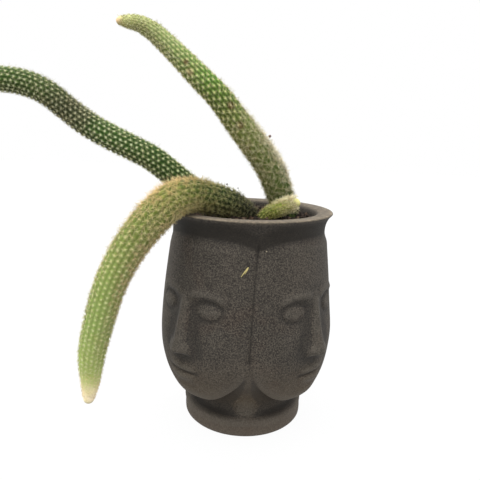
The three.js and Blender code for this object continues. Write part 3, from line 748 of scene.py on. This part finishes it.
def stem_colours(name, share, normals, points):
    """The skin's colour at points of a stem, in linear red, green and blue, with painted shade on its
    underside and a painted shadow at the trailing stem's foot.
    """
    skin = colours_at(share, SKIN_COLOURS_AND_SHADE[name])
    # Downward-facing skin takes the underside colour, partly its own tan and grey and partly painted shade.
    under = smooth_step(-normals[..., 2:], -0.15, 0.95) * 0.75
    skin = skin * (1 - under) + linear(UNDERSIDE_TONES_AND_SHADE[name]) * under
    for stem, place, radius, code, strength in SKIN_MARKS_AND_SHADOW:
        if stem == name:
            reach = np.linalg.norm(points - np.array(place), axis=-1, keepdims=True)
            cover = strength * (1 - smooth_step(reach, 0.35 * radius, radius))
            skin = skin * (1 - cover) + linear(code) * cover
    return skin


def stem_skin(name, ribs):
    """A stem's skin as a mesh, with its colour and the painted shade in its furrows, and what it was made
    from.
    """
    stations, along, count = stem_rows(name)
    middle, radii, length = stations[:, :3], stations[:, 3], along[-1]
    rib_turn = np.arange(ribs * SKIN_COLUMNS_PER_RIB) / SKIN_COLUMNS_PER_RIB
    tangents, outward = directions_along(middle, rib_turn / ribs * TURN)
    from_crest = rib_turn - np.round(rib_turn)
    up_rib = count[:, None] - np.round(rib_turn) % ribs * WART_STAGGER / ribs
    from_areole = up_rib - np.round(up_rib)
    wart = np.cos(from_crest * math.pi) ** 2 * (0.2 + 0.8 * np.cos(from_areole * math.pi) ** 2)
    way = along / length
    rough = 1 - smooth_step(way, PLAIN_TIP[name] - 0.05, PLAIN_TIP[name])
    size = radii / FULL_RADIUS * out_of_soil(middle) * rough
    height = WART_HEIGHTS[name] * size[:, None] * (wart - 0.4)
    rings = middle[:, None] + outward * (radii[:, None] + height)[..., None]
    radius, angles = radii[-1], np.linspace(0, DOME_DEGREES, DOME_ROWS + 1)[1:, None, None] * DEGREE
    dome = middle[-1] + tangents[-1] * radius * DOME_STRETCH * np.sin(angles)
    dome = dome + outward[-1] * ((radius + height[-1])[:, None] * np.cos(angles))
    rings = np.concatenate([rings, dome])
    normals = np.concatenate([outward, outward[-1] * np.cos(angles) + tangents[-1] * np.sin(angles)])
    share = np.r_[along, length + radius * np.sin(angles.ravel())] / (length + radius)
    # Painted shade in the furrows between the warts, none on the smooth tip.
    furrow = (1 - wart) * (rough * np.interp(way, *zip(*FURROW_SHADE_STRENGTHS[name])))[:, None]
    furrow = np.concatenate([furrow, furrow[-1:] * np.cos(angles[..., 0])])
    skin = stem_colours(name, np.minimum(share, 1)[:, None] + 0 * furrow, normals, rings)
    poles = [middle[0] - tangents[0] * radii[0], middle[-1] + tangents[-1] * radius * DOME_STRETCH]
    mesh = ring_mesh(f"{name}_skin", rings, *poles, skin=skin, furrow=furrow)
    return mesh, stations, along, count, outward, tangents


def skin_finish():
    finish = Finish("cactus_skin", roughness=0.65, Specular_IOR_Level=0.15)
    skin, furrow = finish.attribute("skin", "Color"), finish.attribute("furrow")
    mottle, specks = finish.noise(5, 3.0), finish.noise(0.8, 3.0, 0.7)
    base = finish.stained(skin, mottle.between(0.35, 0.7) * 0.35, "e8f0b8")
    base = finish.painted(base, [(specks.between(0.45, 0.7) * 0.25, "96966a")])
    # Painted shade in the furrows between the warts.
    base = finish.stained(base, furrow.between(0.2, 0.9) * 0.8, "56623c")
    finish.set(Base_Color=base, Roughness=0.6 + 0.2 * specks, Normal=finish.bump(specks, 0.25, 0.6))
    return finish.material


# Areoles and spines
# An areole is a cushion of short cream wool on each wart. Weak, pale spines lie spread out round it, and on
# old growth, at the bend and on the young shoot they are long, soft and hairlike, and stand off the skin.

AREOLE_JITTER, WOOL_SIZE = 0.3, 1.6
SPINE_LENGTH, SPINE_THICKNESS = 2.5, 0.3
HAIR_TUFTS, HAIR_SPREAD, HAIR_ROOT, HAIR_THICKNESS, HAIR_TIP = 3, 1.7, 0.4, 0.24, 0.22
GOLDEN_ANGLE = math.pi * (3 - math.sqrt(5))
# How many times its usual length a spine or a hair can have, and the least length of one near the box.
LONGEST, SHORTEST = 1.2, 0.3
# The coat along each stem, as the share of the way to the tip, the size and colour of the dots that wool and
# short spines make, and the hairs on an areole, their length, how far they lean to the tip for each unit
# outward, and their colour.
COATS = {
    "stem_upright": [
        (0.0, 0.3, "6c7046", 5, 4.0, 0.1, "7c7c56"), (0.1, 0.3, "767850", 8, 4.2, 0.1, "82825c"),
        (0.16, 0.35, "8c8c62", 12, 4.0, 0.2, "9c9a72"),
        (0.3, 0.4, "b8b488", 19, 4.4, 0.3, "c4c096"), (0.42, 0.45, "c6c292", 17, 4.2, 0.3, "c6c298"),
        (0.5, 0.65, "cfcb98", 8, 4.0, 0.3, "c6c296"), (0.6, 0.8, "dad6a2", 4, 3.4, 0.3, "c4c294"),
        (0.8, 0.75, "dedba8", 4, 2.8, 0.6, "d0cda4"), (0.92, 0.55, "ccd09e", 4, 2.4, 0.9, "d2d2a6"),
        (1.0, 0.4, "ccca98", 3, 1.8, 0.9, "d8d4ac"),
    ],
    "stem_left": [
        (0.0, 0.7, "8f8f66", 3, 3.4, 0.3, "8d8c66"), (0.2, 0.9, "c0c794", 3, 3.2, 0.3, "989e6c"),
        (0.45, 0.95, "cfd2ac", 3, 3, 0.3, "a2a27a"), (0.55, 0.75, "b4b292", 6, 3, 0.2, "94926f"),
        (0.68, 0.9, "bcc09a", 3, 3, 0.4, "a4a87c"), (1.0, 0.7, "cfd0a0", 3, 2.4, 0.6, "c9c795"),
    ],
    "stem_trailing": [
        # The trailing stem's first rows have dull, dark dots and hair: painted shade behind the pot's rim.
        (0.0, 0.3, "4a4834", 5, 2.6, 0.2, "4a4836"), (0.13, 0.35, "66664a", 8, 3.2, 0.3, "6a6a4c"),
        (0.235, 0.4, "90905e", 10, 3.6, 0.6, "9a9a64"), (0.3, 0.4, "9c9862", 16, 4.2, 0.9, "a8a066"),
        (0.36, 0.4, "c8be84", 15, 4.8, 1.0, "ccbf86"), (0.42, 0.45, "ccc48a", 14, 4.6, 1.0, "cdc08a"),
        (0.5, 0.6, "d4d09c", 9, 4.0, 0.8, "cdc292"), (0.6, 0.6, "d6d6a4", 6, 3.6, 0.5, "cbbf8e"),
        (0.75, 0.55, "d0d4a0", 5, 3.0, 0.4, "c4c08e"), (0.9, 0.45, "d8dcaa", 3, 2.2, 0.5, "c8c690"),
        (0.935, 0.1, "e6d6b0", 0, 1.4, 0.6, "e6d6b0"), (1.0, 0.0, "f0e0c0", 0, 1, 0.6, "f0e0c0"),
    ],
    "shoot_young": [
        (0.0, 0.45, "8f8a48", 4, 1.4, 0.2, "8a8648"), (0.4, 0.45, "aeac64", 7, 2.0, 0.4, "b2b068"),
        (0.6, 0.5, "c2c070", 9, 2.8, 0.7, "b8b46a"), (0.8, 0.55, "cfca82", 13, 3.6, 1.1, "d8d296"),
        (1.0, 0.5, "e6dfa8", 18, 4.2, 1.5, "f4eec8"),
    ],
}
# Where hair is denser and has another colour, as on the sunny side: the stem, the side's direction, the
# share of the way to the tip, the reach, the colour and how much denser.
HAIR_PATCHES = [
    ("stem_upright", (0.97, -0.1, 0.2), 0.33, 0.14, "f0ead2", 0.9),
    ("stem_upright", (-0.5, -0.3, -0.8), 0.84, 0.12, "dedabc", 0.9),
    ("shoot_young", (0.3, -0.1, 0.9), 0.85, 0.3, "fbf6de", 1.0),
    ("stem_trailing", (-0.3, -0.1, 0.95), 0.38, 0.09, "f2d69c", 0.5),
    ("stem_trailing", (0.9, -0.3, -0.3), 0.6, 0.16, "d2b98c", 1.2),
]


def areole_feet(name, ribs, stations, along, count, outward_of, tangents):
    """Every areole above the soil: its place, the directions out of it and tipward, its share and radius."""
    feet = []
    for rib in range(ribs):
        offset = rib * WART_STAGGER / ribs
        for number in range(math.ceil(count[0] - offset), math.floor(count[-1] - offset) + 1):
            feet.append((rib, np.interp(number + offset, count, along)))
    rib, place = np.array(feet).T
    row = np.clip(np.searchsorted(along, place), 1, len(along) - 1)
    part = ((place - along[row - 1]) / (along[row] - along[row - 1]))[:, None]
    station = stations[row - 1] * (1 - part) + stations[row] * part
    columns = (rib * SKIN_COLUMNS_PER_RIB).astype(int)
    outward = unit(outward_of[row - 1, columns] * (1 - part) + outward_of[row, columns] * part)
    tangent = unit(tangents[row - 1] * (1 - part) + tangents[row] * part)
    radius = station[:, 3:]
    skin = station[:, :3] + outward * radius * (1 + WART_HEIGHTS[name] * 0.5 / FULL_RADIUS)
    jitter = np.random.default_rng(len(feet)).uniform(-AREOLE_JITTER, AREOLE_JITTER, (2, len(feet), 1))
    skin += jitter[0] * tangent + jitter[1] * np.cross(outward, tangent)
    shown = out_of_soil(skin) > 0.6
    return skin[shown], outward[shown], tangent[shown], (place / along[-1])[shown], radius[shown, 0]


def loose_points(points, **attributes):
    """A mesh of loose points in metres, each with its attributes."""
    mesh = bpy.data.meshes.new("points")
    mesh.from_pydata((points * MM).tolist(), [], [])
    return store(mesh, attributes)


def named_value(source, name, kind="FLOAT"):
    return source.node("GeometryNodeInputNamedAttribute", {"data_type": kind}, {"Name": name})


def wool_tree():
    """Puts a flattened, uneven cushion of wool on every point, square to its outward direction."""
    source = new_tree("areole_wool", {"Size": "Float", "Seed": "Int", "Material": "Material"})
    ball = source.node("GeometryNodeMeshIcoSphere", None, {"Radius": 0.5, "Subdivisions": 1})
    outward = named_value(source, "outward", "FLOAT_VECTOR")
    facing = source.node("FunctionNodeAlignRotationToVector", {"axis": "Z"}, {"Vector": outward})
    stretch = random_vector(source, (0.6, 0.6, 0.3), (1.25, 1.25, 0.6), source.output("Seed"))
    size = named_value(source, "wool") * source.output("Size")
    return planted(source, source, ball, facing, source.vector("SCALE", stretch, size))


def spine_tree():
    """Sets a spray of bent, tapering spines on every point, spread evenly round its outward direction."""
    numbers = dict.fromkeys(["Thickness", "Tip Width", "Bend", "Least Lean", "Most Lean"], "Float")
    source = new_tree("spines", {**numbers, "Segments": "Int", "Seed": "Int", "Material": "Material"})
    seed = source.output("Seed")
    needle = source.node("GeometryNodeMeshCone", {"fill_type": "NONE"}, {
        "Vertices": 3, "Side Segments": source.output("Segments"), "Radius Top": source.output("Tip Width"),
        "Radius Bottom": 0.5, "Depth": 1.0,
    })
    place = source.node("GeometryNodeInputPosition")
    height = source.node("ShaderNodeSeparateXYZ", None, {"Vector": place}, "Z")
    hang = source.node("ShaderNodeCombineXYZ", None, {"X": height * height * source.output("Bend")})
    bent = source.node("GeometryNodeSetPosition", None, {"Geometry": needle, "Offset": hang})

    def marked(geometry, name, value):
        inputs = {"Geometry": geometry, "Name": name, "Value": value}
        settings = {"data_type": "FLOAT", "domain": "POINT"}
        return source.node("GeometryNodeStoreNamedAttribute", settings, inputs)

    copies = source.node("GeometryNodeDuplicateElements", {"domain": "POINT"}, {
        "Geometry": source, "Amount": named_value(source, "spines"),
    })
    index = source.node("GeometryNodeInputIndex")

    def random(low, high, change):
        inputs = {"Min": low, "Max": high, "ID": index, "Seed": seed + change}
        return source.node("FunctionNodeRandomValue", {"data_type": "FLOAT"}, inputs, 1)

    out, along = (named_value(source, label, "FLOAT_VECTOR") for label in ("outward", "along"))
    across = source.vector("CROSS_PRODUCT", out, along)
    turn = named_value(source, "turn") + copies.output("Duplicate Index") * GOLDEN_ANGLE
    turn = turn + random(-0.4, 0.4, 0)
    lean = random(source.output("Least Lean"), source.output("Most Lean"), 1)
    sideways = source.vector("SCALE", across, source.math("COSINE", turn) * lean)
    tipward = source.math("SINE", turn) * lean + named_value(source, "tip_lean")
    slant = source.vector("ADD", sideways, source.vector("SCALE", along, tipward))
    leaning = {"Vector": source.vector("ADD", out, slant)}
    facing = source.node("FunctionNodeAlignRotationToVector", {"axis": "Z"}, leaning)
    spin = source.node("ShaderNodeCombineXYZ", None, {"Z": random(0.0, TURN, 2)})
    turned = {"Rotation": facing, "Rotate By": spin}
    spun = source.node("FunctionNodeRotateRotation", {"rotation_space": "LOCAL"}, turned)
    long = named_value(source, "spine_length") * random(0.65, 1.15, 3)
    thick = source.output("Thickness") * random(0.75, 1.25, 4)
    scale = source.node("ShaderNodeCombineXYZ", None, {"X": thick, "Y": thick, "Z": long})
    shaded = marked(copies, "shade", random(0.5, 1.1, 5))
    return planted(source, shaded, marked(bent, "tipward", height), spun, scale)


def wool_finish():
    finish = Finish("areole_wool", roughness=0.95, Specular_IOR_Level=0.1)
    tint, fluff, tone = finish.attribute("tint", "Color"), finish.noise(0.5, 3.0, 0.7), finish.noise(6, 2.0)
    base = finish.stained(tint, tone.between(0.35, 0.7) * 0.5, "f2dcc0")
    base = finish.stained(base, (1 - fluff.between(0.3, 0.6)) * 0.3, "b4b090")
    finish.set(Base_Color=base, Normal=finish.bump(fluff, 0.3))
    return finish.material


def spine_finish(name, root_shade):
    finish = Finish(name, roughness=0.7, Specular_IOR_Level=0.15)
    tint, tip = finish.attribute("tint", "Color"), finish.attribute("tipward")
    base = finish.stained(tint, finish.noise(4, 2.0).between(0.3, 0.7) * 0.5, "e4cfae")
    base = finish.painted(base, [(tip.between(0.4, 1.0) * 0.2, "e4dcc0")])
    shade = finish.attribute("shade") * (root_shade + tip.between(0.0, 0.4) * (1 - root_shade))
    finish.set(Base_Color=finish.mix(1.0, base, shade, "MULTIPLY"))
    return finish.material


skin_material, wool_material = skin_finish(), wool_finish()
spine_material, hair_material = spine_finish("spines", 1.0), spine_finish("hair", 0.3)
wool_growth, spine_growth = wool_tree(), spine_tree()
STEM_SLOTS = {
    "stem_upright": "stem_light", "stem_left": "stem_dark",
    "stem_trailing": "stem_light", "shoot_young": "shoot",
}
cad_low, cad_high = (np.array(list(corner)) / MM for corner in cad_box)

for stem_number, (stem, slot) in enumerate(STEM_SLOTS.items()):
    ribs = SHOOT_RIBS if stem == "shoot_young" else RIBS
    mesh, *made_from = stem_skin(stem, ribs)
    skin = placed(f"{stem}_skin", mesh, skin_material)
    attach(skin, "root")
    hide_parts(stem)
    feet, outward, tangent, share, radius = areole_feet(stem, ribs, *made_from)
    stops, *coat = zip(*COATS[stem])
    dots, hairs, hair_length, tip_lean = (np.interp(share, stops, coat[i]) for i in (0, 2, 3, 4))
    dot_tint, hair_tint = (colours_at(share, list(zip(stops, coat[i]))) for i in (1, 5))
    for where, side, middle_share, reach, code, denser in HAIR_PATCHES:
        cover = (where == stem) * bell(share - middle_share, reach)
        cover = cover * smooth_step(outward @ np.array(side), 0.35, 0.95)
        hair_tint += (linear(code) - hair_tint) * cover[:, None]
        hairs *= 1 + denser * cover
    size = radius / FULL_RADIUS
    box_room = np.min(np.hstack([feet - cad_low, cad_high - feet]), 1) / LONGEST
    # Painted shade: wool on areoles that face down is darker.
    wool_tint_with_underside_shade = dot_tint * (0.85 + 0.15 * outward[:, 2:])
    wool = grown(
        f"{stem}_wool", loose_points(feet, outward=outward, wool=size * dots, tint=wool_tint_with_underside_shade),
        wool_growth, wool_material, Size=WOOL_SIZE * MM, Seed=stem_number,
    )
    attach(wool, "root")
    directions = {
        "outward": outward, "along": tangent, "tip_lean": tip_lean,
        "turn": np.random.default_rng(stem_number).uniform(0, TURN, len(feet)),
    }
    long = np.minimum(SPINE_LENGTH * (0.4 + 0.6 * size), np.maximum(SHORTEST, box_room - SHORTEST))
    spine_feet = loose_points(
        feet, **directions, tint=dot_tint, spines=np.round(3 + 8 * dots), spine_length=long * MM,
    )
    spines = grown(
        f"{stem}_spines", spine_feet, spine_growth, spine_material, Thickness=SPINE_THICKNESS * MM,
        Tip_Width=0.0, Bend=0.0, Least_Lean=1.8, Most_Lean=4.5, Segments=1, Seed=10 + stem_number,
    )
    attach(spines, "root")
    tufts = (2, HAIR_TUFTS * len(feet), 1)
    scatter_hair = np.random.default_rng(stem_number).uniform(-HAIR_SPREAD, HAIR_SPREAD, tufts)
    hair_base = {name: np.repeat(values, HAIR_TUFTS, 0) for name, values in directions.items()}
    across = np.cross(hair_base["outward"], hair_base["along"])
    roots = np.repeat(feet, HAIR_TUFTS, 0) + scatter_hair[0] * hair_base["along"] + scatter_hair[1] * across
    roots -= HAIR_ROOT * hair_base["outward"]
    long = hair_length * (0.85 + 0.3 * outward[:, 2])
    long = np.minimum(long, np.maximum(SHORTEST, box_room - HAIR_SPREAD))
    hair_feet = loose_points(
        roots, **hair_base, tint=np.repeat(hair_tint, HAIR_TUFTS, 0),
        spines=np.round(np.repeat(hairs, HAIR_TUFTS) / HAIR_TUFTS + 0.1),
        spine_length=np.repeat(long, HAIR_TUFTS) * MM,
    )
    hair = grown(
        f"{stem}_hair", hair_feet, spine_growth, hair_material, Thickness=HAIR_THICKNESS * MM,
        Tip_Width=HAIR_TIP, Bend=3.5, Least_Lean=0.5, Most_Lean=3.0, Segments=2, Seed=20 + stem_number,
    )
    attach(hair, "root")

# Bits
# Potting left a little litter behind: broken straw sticks to the pot, a pale speck sits on it, and dark
# crumbs of soil hang in the stems' hair.

STRAW_RADIUS, STRAW_END_RADIUS = 0.45, 0.2
STRAWS = [
    [(0.7, -60.7, 132.4), (-1.5, -60.8, 129.4), (-3.8, -60.9, 126)],
    [(0.4, -60.6, 131.4), (-1.4, -60.7, 127.9)],
]
SPECKS = [
    ((12, -58.6, 143), 0.9, "8f8672"), ((13.1, 4.6, 215.6), 2.2, "4a231d"),
    ((-16.2, -23.7, 181.9), 1.3, "241a15"), ((-8.7, -14.1, 178.4), 1.0, "2a201a"),
]
# A speck for each millimetre of its size: its rings' places along it, the way it leans and its rings' radii.
SPECK_RINGS, SPECK_LEAN, SPECK_RADII = [-0.35, 0, 0.35], [0.5, 0.2, 0.8], [0.36, 0.5, 0.3]


def plain_finish(name, code, roughness=0.9, **constants):
    finish = Finish(name, roughness, Specular_IOR_Level=0.1, **constants)
    finish.set(Base_Color=colour(code))
    return finish.material


def tube(name, middle, radii):
    """A closed six-sided tube along a line of points."""
    middle = np.array(middle, float)
    tangents, outward = directions_along(middle, np.arange(6) / 6 * TURN)
    rings = middle[:, None] + outward * np.array(radii)[:, None, None]
    poles = [middle[0] - tangents[0] * radii[0] / 2, middle[-1] + tangents[-1] * radii[-1] / 2]
    return ring_mesh(name, rings, *poles)


straw_material = plain_finish("straw", "a89c6a", 0.7)
for number, line in enumerate(STRAWS):
    shape = tube(f"straw_{number}", line, [STRAW_RADIUS] * (len(line) - 1) + [STRAW_END_RADIUS])
    straw = placed(f"straw_{number}", shape, straw_material)
    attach(straw, "root")
for number, (place, size, code) in enumerate(SPECKS):
    middle = np.array(place) + np.array(SPECK_RINGS)[:, None] * size * np.array(SPECK_LEAN)
    shape = tube(f"speck_{number}", middle, np.array(SPECK_RADII) * size)
    speck = placed(f"speck_{number}", shape, plain_finish(f"speck_{number}", code))
    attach(speck, "root")

# Floor, light and camera
# The pot stands on a plain pale floor that glows a little, as over a light table, in soft, even studio light
# from above, in the photograph's view.

PICTURE_SIZE, FOCAL_PIXELS, SENSOR_WIDTH = 480, 480, 36
CAMERA_PLACE = (0, -358.7, 214)
CAMERA_YAW, CAMERA_PITCH, CAMERA_ROLL = -1.01, 12.05, 1.92
SKY_LOW, SKY_RISE, FLOOR_GLOW, FLOOR_HALF = 1.0, 2.2, 0.95, 3
KEY_POWER, KEY_SIZE, KEY_PLACE, KEY_AIM = 5.0, 0.7, (-0.45, -0.2, 0.95), (0, 0, 0.12)

floor_mesh = bpy.data.meshes.new("floor")
corners = [(x * FLOOR_HALF, y * FLOOR_HALF, 0) for x, y in ((-1, -1), (1, -1), (1, 1), (-1, 1))]
floor_mesh.from_pydata(corners, [], [(0, 1, 2, 3)])
floor = placed("floor", floor_mesh, plain_finish("lit_floor", "2c2c2c", Emission_Strength=FLOOR_GLOW))

world = bpy.data.worlds.new("studio")
bpy.context.scene.world = world
world.use_nodes = True
sky = Wire(world.node_tree)
background = next(n for n in world.node_tree.nodes if n.type == "BACKGROUND")
upward = sky.node("ShaderNodeSeparateXYZ", None, {"Vector": sky.node("ShaderNodeTexCoord")}, "Z")
background.inputs["Color"].default_value = (1, 1, 1, 1)
strength = SKY_LOW + upward.between(0.27, 1.0) * SKY_RISE
world.node_tree.links.new(strength.socket, background.inputs["Strength"])

key = bpy.data.lights.new("key", "AREA")
key.energy, key.size = KEY_POWER, KEY_SIZE
key_lamp = bpy.data.objects.new("key", key)
key_lamp.location = KEY_PLACE
key_lamp.rotation_euler = (Vector(KEY_AIM) - key_lamp.location).to_track_quat("-Z", "Y").to_euler()
bpy.context.scene.collection.objects.link(key_lamp)


def camera_axes():
    """The camera's right, up and backward directions."""
    yaw, pitch, roll = (angle * DEGREE for angle in (CAMERA_YAW, CAMERA_PITCH, CAMERA_ROLL))
    forward = np.array([math.sin(yaw) * math.cos(pitch), math.cos(yaw) * math.cos(pitch), -math.sin(pitch)])
    right = np.array([math.cos(yaw), -math.sin(yaw), 0])
    up = np.cross(right, forward)
    cosine, sine = math.cos(roll), math.sin(roll)
    return cosine * right + sine * up, cosine * up - sine * right, -forward


lens = bpy.data.cameras.new("camera")
lens.sensor_width = SENSOR_WIDTH
lens.lens = SENSOR_WIDTH * FOCAL_PIXELS / PICTURE_SIZE
lens.clip_start, lens.clip_end = 0.01, 20
camera = bpy.data.objects.new("camera", lens)
turned = Matrix(np.array(camera_axes()).T.tolist()).to_4x4()
camera.matrix_world = Matrix.Translation(Vector(CAMERA_PLACE) * MM) @ turned
bpy.context.scene.collection.objects.link(camera)
bpy.context.scene.camera = camera
bpy.context.scene.view_settings.view_transform = "Standard"
